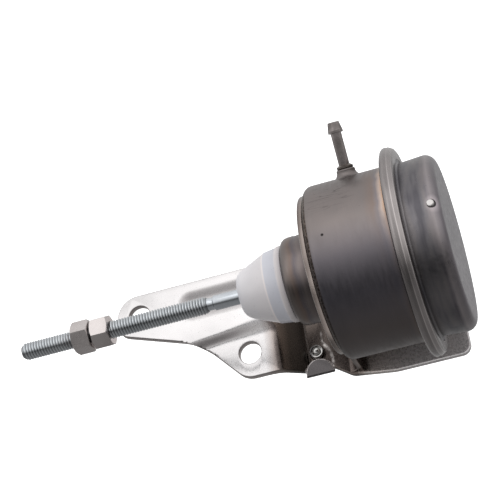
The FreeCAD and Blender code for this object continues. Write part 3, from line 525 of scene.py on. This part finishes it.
# ---- Rivet ----
# Steel rivet through the foot of the flange, its head cupped by the tool round a bright ball.
low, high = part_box("bracket_stud")
middle = (low + high) / 2
head_top = high.z
bm = bmesh.new()
turned(
    bm, 48,
    (low.z, 0.0),
    (low.z, high.x - middle.x - 0.2 * MM),
    (low.z + 0.25 * MM, high.x - middle.x),
    (head_top - 0.65 * MM, high.x - middle.x),
    (head_top - 0.35 * MM, high.x - middle.x - 0.12 * MM),
    (head_top - 0.40 * MM, high.x - middle.x - 0.45 * MM),
    (head_top - 1.15 * MM, 1.75 * MM),
    (head_top - 1.20 * MM, 1.45 * MM),
    (head_top - 0.80 * MM, 1.40 * MM),
    (head_top - 0.35 * MM, 1.15 * MM),
    (head_top - 0.08 * MM, 0.65 * MM),
    (head_top, 0.0),
)
bmesh.ops.rotate(bm, cent=(0, 0, 0), matrix=Matrix.Rotation(math.radians(-90), 3, "Y"), verts=bm.verts)
bmesh.ops.translate(bm, vec=(middle.x, middle.y, 0.0), verts=bm.verts)
rivet = object_of(bm, "rivet")
rivet.data.set_sharp_from_angle(angle=math.radians(40))
finish(steel("rivet_steel", (0.66, 0.66, 0.64), (0.40, 0.39, 0.38), 0.16, grain=900.0)[0], rivet)
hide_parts("bracket_stud")
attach(rivet, "housing")

# ---- Boot ----
# Soft boot moulded in clear silicone gone milky, slipped over the shank and pushed on the neck.
# Its wall is even, its nose thicker, and all its edges are round. A faint glow stands for the
# light that comes through it.
boot_front = 78.6 * MM
boot_kink = 89.7 * MM
boot_rear = 95.9 * MM
bm = bmesh.new()
turned(
    bm, 96,
    (boot_front, 2.9 * MM),
    (boot_front, 5.4 * MM),
    (boot_front + 0.20 * MM, 6.3 * MM),
    (boot_front + 0.70 * MM, 7.1 * MM),
    (boot_front + 1.50 * MM, 7.8 * MM),
    (boot_front + 2.60 * MM, 8.45 * MM),
    (boot_kink - 0.35 * MM, 11.95 * MM),
    (boot_kink - 0.05 * MM, 12.12 * MM),
    (boot_kink + 0.25 * MM, 12.18 * MM),
    (boot_rear - 1.9 * MM, 12.72 * MM),
    (boot_rear - 1.75 * MM, 12.95 * MM),
    (boot_rear - 0.45 * MM, 13.05 * MM),
    (boot_rear - 0.08 * MM, 12.8 * MM),
    (boot_rear - 0.05 * MM, 11.9 * MM),
    (boot_rear - 0.5 * MM, 11.6 * MM),
    (boot_kink + 0.2 * MM, 10.85 * MM),
    (boot_front + 2.6 * MM, 7.1 * MM),
    (boot_front + 2.6 * MM, 2.9 * MM),
    (boot_front, 2.9 * MM),
)
boot = object_of(bm, "boot_skin")
boot.data.set_sharp_from_angle(angle=math.radians(50))
silicone = bpy.data.materials.new("silicone")
silicone.use_nodes = True
tree = silicone.node_tree
shader = tree.nodes["Principled BSDF"]
place = add(tree, "TexCoord").outputs["Object"]
cloud = noise(tree, place, 70.0, 2.0)
milk = ramp(tree, cloud, (0.35, (0.66, 0.65, 0.665)), (0.7, (0.75, 0.735, 0.745)))
along = add(tree, "SeparateXYZ", Vector=place).outputs["X"]
length = share_of(tree, along, boot_front, boot_rear)
# Painted light along the boot: a painted highlight on the kink, painted shade darker and bluish on the skirt
# behind it, and darker still at the rear.
painted_light_bands = ramp(tree, length, (0.0, (0.90, 0.91, 0.95)), (0.12, (1.0, 0.99, 1.0)), (0.60, (0.94, 0.915, 0.915)),
             (0.632, (1.14, 1.08, 1.05)), (0.655, (0.83, 0.85, 0.91)), (0.86, (0.76, 0.78, 0.84)),
             (0.90, (0.92, 0.88, 0.87)), (1.0, (0.70, 0.67, 0.67)))
milk_and_painted_light = tinted(tree, milk, painted_light_bands, 1.0)
tree.links.new(milk_and_painted_light, shader.inputs["Base Color"])
tree.links.new(milk_and_painted_light, shader.inputs["Emission Color"])
shader.inputs["Emission Strength"].default_value = 0.06
fine = noise(tree, place, 900.0, 2.0)
gloss = add(tree, "MapRange", Value=fine, To_Min=0.24, To_Max=0.34).outputs["Result"]
tree.links.new(gloss, shader.inputs["Roughness"])
shader.inputs["IOR"].default_value = 1.4
finish(silicone, boot)
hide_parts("boot")
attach(boot, "housing")

# ---- Neck ----
# Drawn stainless cup welded to the can, straw to brown and blue where the weld's heat ran
# along it, with the marks of the drawing die round it.
neck_front, neck_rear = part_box("neck_cup")[0].x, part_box("neck_cup")[1].x
bm = bmesh.new()
turned(
    bm, 128,
    (neck_front, 3.4 * MM),
    (neck_front, 12.3 * MM),
    (neck_front + 0.25 * MM, 13.35 * MM),
    (neck_front + 0.80 * MM, 14.2 * MM),
    (neck_front + 1.60 * MM, 14.75 * MM),
    (neck_front + 2.70 * MM, 14.97 * MM),
    (neck_front + 4.40 * MM, 15.0 * MM),
    (neck_front + 4.90 * MM, 14.90 * MM),
    (neck_front + 5.60 * MM, 14.88 * MM),
    (neck_front + 6.10 * MM, 14.98 * MM),
    (neck_front + 8.60 * MM, 15.0 * MM),
    (neck_front + 8.75 * MM, 14.95 * MM),
    (neck_front + 8.90 * MM, 15.0 * MM),
    (neck_rear, 15.0 * MM),
    (neck_rear, 13.8 * MM),
    (neck_front + 1.2 * MM, 13.0 * MM),
    (neck_front + 1.2 * MM, 3.4 * MM),
    (neck_front, 3.4 * MM),
)
neck = object_of(bm, "neck_sleeve")
neck.data.set_sharp_from_angle(angle=math.radians(50))
neck_steel, tree, shader, place, tone = steel(
    "neck_steel", (0.205, 0.190, 0.187), (0.140, 0.130, 0.129), 0.34,
    grain=500.0, stretch=(3.0, 0.25, 0.25), depth=0.08,
)
along = add(tree, "SeparateXYZ", Vector=place).outputs["X"]
run = share_of(tree, along, 95.8 * MM, 108.2 * MM)
moved = shaken(tree, run, noise(tree, place, 160.0, 3.0), 0.22)
tint = ramp(
    tree, moved,
    (0.1, (0.95, 0.93, 0.93)), (0.30, (1.0, 0.90, 0.84)), (0.42, (0.92, 0.74, 0.64)),
    (0.52, (0.66, 0.62, 0.68)), (0.66, (0.92, 0.84, 0.82)), (0.85, (0.62, 0.55, 0.56)),
    (1.0, (0.5, 0.46, 0.50)),
)
tree.links.new(tinted(tree, tone, tint, 0.85), shader.inputs["Base Color"])
finish(neck_steel, neck)
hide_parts("neck_cup")
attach(neck, "housing")

# ---- Can ----
# Deep drawn can of stainless sheet, satin from the barrel, with painted shade that leaves it bluish
# low down and warmer on top, a painted highlight next to the ring, a weld pit, specks and fine scratches.
uphill = (0.0, 0.883, 0.469)
weld_pit = (114.3 * MM, -0.9 * MM, 29.3 * MM)
scratch_patch = (116.5 * MM, 14.0 * MM, 25.5 * MM)
can_steel, tree, shader, place, tone = steel(
    "can_steel", (0.225, 0.203, 0.199), (0.168, 0.155, 0.154), 0.40,
    grain=420.0, stretch=(2.5, 0.4, 0.4), depth=0.05, blotch=35.0,
)
parts = add(tree, "SeparateXYZ", Vector=place)
along = parts.outputs["X"]
# Painted shade: darker and bluish towards the low side, a little warm on top.
height = add(tree, "VectorMath", {"operation": "DOT_PRODUCT"}, at0=place, at1=uphill).outputs["Value"]
painted_low_shade = ramp(tree, share_of(tree, height, 16.0 * MM, -20.0 * MM), (0.0, (1.0, 0.97, 0.95)),
            (0.30, (0.81, 0.81, 0.89)), (0.65, (0.63, 0.65, 0.75)), (1.0, (0.63, 0.61, 0.61)))
shade = tinted(tree, tone, painted_low_shade, 1.0)

# Painted highlight and painted reflection next to the ring, straw, blue and bright gold, strongest on the
# upper side.
moved = shaken(tree, along, noise(tree, place, 150.0, 2.0), 2.2 * MM)
painted_ring_highlight = ramp(
    tree, share_of(tree, moved, 129.5 * MM, 136.8 * MM),
    (0.0, (1.0, 1.0, 1.0)), (0.45, (1.05, 0.95, 0.88)), (0.64, (1.1, 1.12, 1.2)),
    (0.80, (2.4, 2.2, 2.0)), (0.90, (2.6, 2.0, 1.5)), (1.0, (1.2, 0.95, 0.8)),
)
upper = ramp(tree, share_of(tree, parts.outputs["Y"], -14.0 * MM, 26.0 * MM),
             (0.0, 0.12), (0.30, 0.35), (0.48, 1.0), (0.80, 0.9), (1.0, 0.2))
shade = tinted(tree, shade, painted_ring_highlight, upper)

# Specks all over, fine crossed scratches in one patch, and the one weld pit.
specks = add(tree, "TexVoronoi", Vector=place, Scale=230.0).outputs["Distance"]
shade = tinted(tree, shade, ramp(tree, specks, (0.0, 0.3), (0.035, 1.0)), 0.8)
crossed = add(tree, "Mapping", Vector=place, Rotation=(0.5, 0.3, 0.9),
              Scale=(60.0, 700.0, 700.0)).outputs["Vector"]
hairs = noise(tree, crossed, 1.0, 1.0, Distortion=0.6)
lines = ramp(tree, hairs, (0.0, 1.0), (0.47, 1.0), (0.49, 0.3), (0.51, 1.0))
patch = share_of(tree, far_from(tree, place, scratch_patch), 4.0 * MM, 11.0 * MM)
shade = tinted(tree, shade, lines, ramp(tree, patch, (0.0, 0.8), (1.0, 0.0)))
pit = share_of(tree, far_from(tree, place, weld_pit), 0.3 * MM, 0.6 * MM)
shade = tinted(tree, shade, ramp(tree, pit, (0.0, 0.1), (1.0, 1.0)), 1.0)

# The front corner of the can is mottled dark brown.
corner_mottle = ramp(tree, noise(tree, place, 1500.0, 2.0), (0.42, (0.14, 0.11, 0.085)), (0.60, (0.62, 0.54, 0.46)))
weld = share_of(tree, along, 109.75 * MM, 109.45 * MM)
tree.links.new(tinted(tree, shade, corner_mottle, weld), shader.inputs["Base Color"])
finish(can_steel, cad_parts["front_can"])

# ---- Crimp ring ----
# Rolled steel ring closed over both flanges: a round crown on the can's side, a shallow roller
# groove, and a flat land with crisp edges that leans back to the cap.
ring_low, ring_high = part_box("crimp_ring")
front, rear, reach = ring_low.x + 1.1 * MM, ring_high.x - 1.1 * MM, ring_high.z
mouth = reach - 4.75 * MM
bm = bmesh.new()
turned(
    bm, 144,
    (front + 0.4 * MM, mouth),
    (front + 0.08 * MM, mouth + 0.25 * MM),
    (front, mouth + 0.7 * MM),
    (front, reach - 2.0 * MM),
    (front + 0.12 * MM, reach - 1.25 * MM),
    (front + 0.42 * MM, reach - 0.62 * MM),
    (front + 0.85 * MM, reach - 0.20 * MM),
    (front + 1.30 * MM, reach - 0.02 * MM),
    (front + 1.65 * MM, reach - 0.02 * MM),
    (front + 1.95 * MM, reach - 0.07 * MM),
    (front + 2.25 * MM, reach - 0.12 * MM),
    (front + 2.50 * MM, reach - 0.13 * MM),
    (front + 2.72 * MM, reach - 0.12 * MM),
    (front + 2.86 * MM, reach - 0.19 * MM),
    (front + 3.40 * MM, reach - 0.46 * MM),
    (rear - 0.62 * MM, reach - 0.84 * MM),
    (rear - 0.50 * MM, reach - 0.98 * MM),
    (rear - 0.14 * MM, reach - 1.65 * MM),
    (rear, reach - 2.4 * MM),
    (rear, mouth + 0.7 * MM),
    (rear - 0.12 * MM, mouth + 0.25 * MM),
    (rear - 0.5 * MM, mouth),
    (front + 0.4 * MM, mouth),
)
ring = object_of(bm, "crimp_band")
ring.data.set_sharp_from_angle(angle=math.radians(40))
ring_steel, tree, shader, place, tone = steel(
    "ring_steel", (0.285, 0.262, 0.258), (0.212, 0.194, 0.192), 0.27,
    spread=0.06, grain=520.0, stretch=(2.0, 0.3, 0.3), depth=0.07,
)
specks = add(tree, "TexVoronoi", Vector=place, Scale=420.0).outputs["Distance"]
shade = tinted(tree, tone, ramp(tree, specks, (0.0, 0.45), (0.05, 1.0)), 0.7)
parts = add(tree, "SeparateXYZ", Vector=place)
across = share_of(tree, parts.outputs["X"], front, rear)
# Painted light across the band: a darker line near the crown, two painted highlight lines with a lighter band
# between, and a darker rear edge, all weaker towards +Y.
painted_light = ramp(tree, across, (0.0, 0.85), (0.30, 1.05), (0.42, 0.82), (0.56, 0.85), (0.60, 1.9), (0.63, 1.9),
              (0.66, 1.25), (0.86, 1.25), (0.875, 2.0), (0.89, 2.0), (0.92, 0.7))
reached = share_of(tree, parts.outputs["Y"], 22.0 * MM, 4.0 * MM, (0.25, 0.95))
tree.links.new(tinted(tree, shade, painted_light, reached), shader.inputs["Base Color"])
finish(ring_steel, ring)
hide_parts("crimp_ring")
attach(ring, "housing")

# ---- Cap ----
# Shallow drawn cap of the same sheet, smeared and rubbed round its side, with the sintered plug
# of the vent pressed in near its shoulder.
shoulder_start = 147.0 * MM
cap_end = 152.1 * MM
cap_steel, tree, shader, place, tone = steel("cap_steel", (0.158, 0.150, 0.155), (0.122, 0.116, 0.120), 0.34,
                                             grain=700.0, depth=0.03, blotch=45.0)
parts = add(tree, "SeparateXYZ", Vector=place)
along = parts.outputs["X"]
turn = add(tree, "Math", {"operation": "ARCTAN2"}, at0=parts.outputs["Z"], at1=parts.outputs["Y"]).outputs[0]
wrapped = add(tree, "CombineXYZ", X=along, Y=turn).outputs["Vector"]
smear_at = add(tree, "Mapping", Vector=wrapped, Scale=(300.0, 1.7, 1.0)).outputs["Vector"]
smears = noise(tree, smear_at, 1.0, 2.0, Roughness=0.5)
smeared = ramp(tree, smears, (0.34, (0.55, 0.55, 0.60)), (0.47, (0.94, 0.94, 0.97)),
               (0.62, (1.18, 1.15, 1.13)))
side_only = ramp(tree, share_of(tree, along, 148.5 * MM, 150.0 * MM), (0.0, 0.85), (1.0, 0.12))
shade = tinted(tree, tone, smeared, side_only)
# Painted highlight along the shoulder.
shoulder = ramp(
    tree, share_of(tree, along, shoulder_start, cap_end),
    (0.0, (1.0, 1.0, 1.0)), (0.30, (1.2, 1.17, 1.17)), (0.52, (1.9, 1.82, 1.80)), (0.80, (1.35, 1.30, 1.33)),
    (1.0, (1.05, 1.0, 1.06)),
)
shade = tinted(tree, shade, shoulder, 1.0)

# A painted highlight as a pale halo beside the vent, and a painted shadow as a dark crescent round its plug.
vent = (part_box("vent_plug")[0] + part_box("vent_plug")[1]) / 2
painted_vent_halo = share_of(tree, far_from(tree, place, (vent.x + 1.2 * MM, vent.y, vent.z)), 1.2 * MM, 3.4 * MM)
shade = tinted(tree, shade, ramp(tree, painted_vent_halo, (0.0, (1.75, 1.7, 1.7)), (1.0, (1.0, 1.0, 1.0))), 1.0)
painted_plug_shadow = share_of(tree, far_from(tree, place, (vent.x + 0.40 * MM, vent.y, vent.z)), 1.45 * MM, 1.65 * MM)
shade = tinted(tree, shade, ramp(tree, painted_plug_shadow, (0.0, 0.12), (1.0, 1.0)), 1.0)
tree.links.new(shade, shader.inputs["Base Color"])
finish(cap_steel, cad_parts["rear_cap"])
finish(steel("sintered_plug", (0.75, 0.72, 0.71), (0.5, 0.48, 0.47), 0.55, grain=2400.0, depth=0.3)[0],
       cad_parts["vent_plug"])

# ---- Nipple ----
# Turned steel hose nipple with one barb, brazed into the collar drawn out of the can.
finish(steel("nipple_steel", (0.25, 0.225, 0.22), (0.14, 0.125, 0.12), 0.24, depth=0.08, blotch=260.0)[0],
       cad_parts["nipple"])
finish(steel("braze", (0.20, 0.175, 0.16), (0.10, 0.088, 0.08), 0.36, depth=0.3, blotch=400.0)[0],
       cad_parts["nipple_braze"])

# ---- Inner pieces ----
# Pressed seat, piston cup, plate and washer of zinc plated steel, the spring of drawn wire,
# the bronze bush, and the diaphragm, seal and stop of black rubber.
inner = steel("inner_steel", (0.55, 0.55, 0.53), (0.38, 0.38, 0.37), 0.35)[0]
for name in ("seal_retainer", "spring_seat", "piston_cup", "diaphragm_plate", "rod_washer"):
    finish(inner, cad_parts[name])
finish(steel("spring_wire", (0.26, 0.26, 0.28), (0.16, 0.16, 0.17), 0.4)[0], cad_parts["return_spring"])
finish(steel("bush_bronze", (0.52, 0.37, 0.20), (0.34, 0.23, 0.13), 0.45)[0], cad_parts["guide_bush"])
rubber = bpy.data.materials.new("rubber")
rubber.use_nodes = True
tree = rubber.node_tree
shader = tree.nodes["Principled BSDF"]
place = add(tree, "TexCoord").outputs["Object"]
fine = noise(tree, place, 600.0, 3.0)
tree.links.new(ramp(tree, fine, (0.3, 0.02), (0.8, 0.045)), shader.inputs["Base Color"])
tree.links.new(add(tree, "MapRange", Value=fine, To_Min=0.5, To_Max=0.75).outputs["Result"],
               shader.inputs["Roughness"])
for name in ("diaphragm", "rod_seal", "bump_stop"):
    finish(rubber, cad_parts[name])
